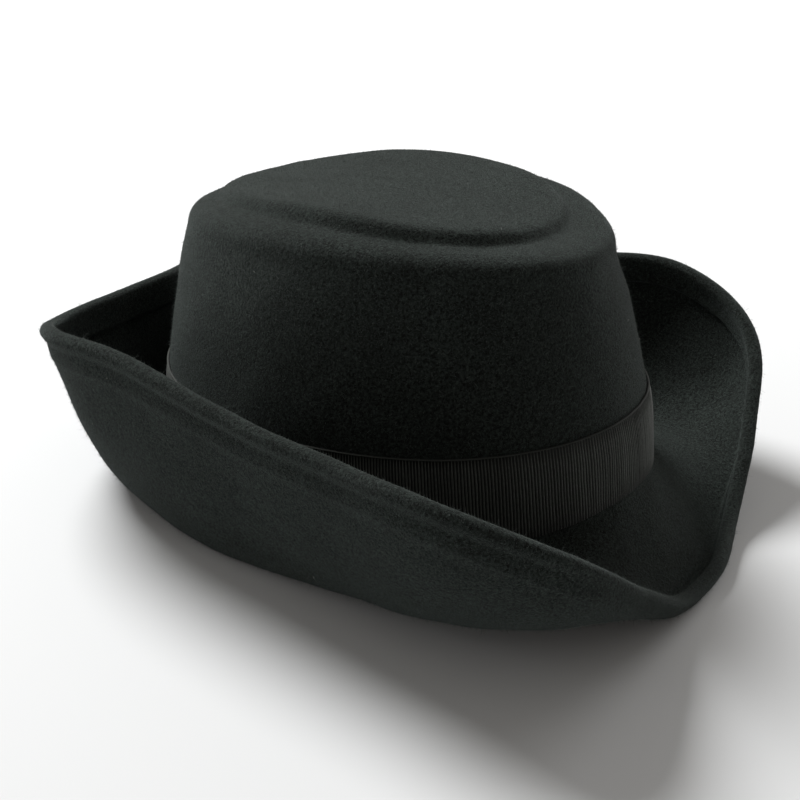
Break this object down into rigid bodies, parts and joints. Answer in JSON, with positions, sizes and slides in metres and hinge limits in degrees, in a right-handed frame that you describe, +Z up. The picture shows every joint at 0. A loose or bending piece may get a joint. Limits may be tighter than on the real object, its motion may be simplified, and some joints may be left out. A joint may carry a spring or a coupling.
{
  "type": "tricorn felt hat",
  "caption": "Felt hat with a round crown, a ribbed ribbon band and a brim turned up at the sides and back.",
  "frame": {"origin": "centre of the bounding box, on the surface the hat rests on", "axes": "-Y is the wearer's front, +X the wearer's left, +Z up, as the hat lies on a table"},
  "size_m": [0.2652, 0.265, 0.1246],
  "materials": {
    "felt": "matt black wool felt with a short nap",
    "ribbon": "black ribbed ribbon with a slight sheen"
  },
  "bodies": {
    "root": {"felt_body": "felt", "ribbon_band": "ribbon"}
  },
  "joints": []
}
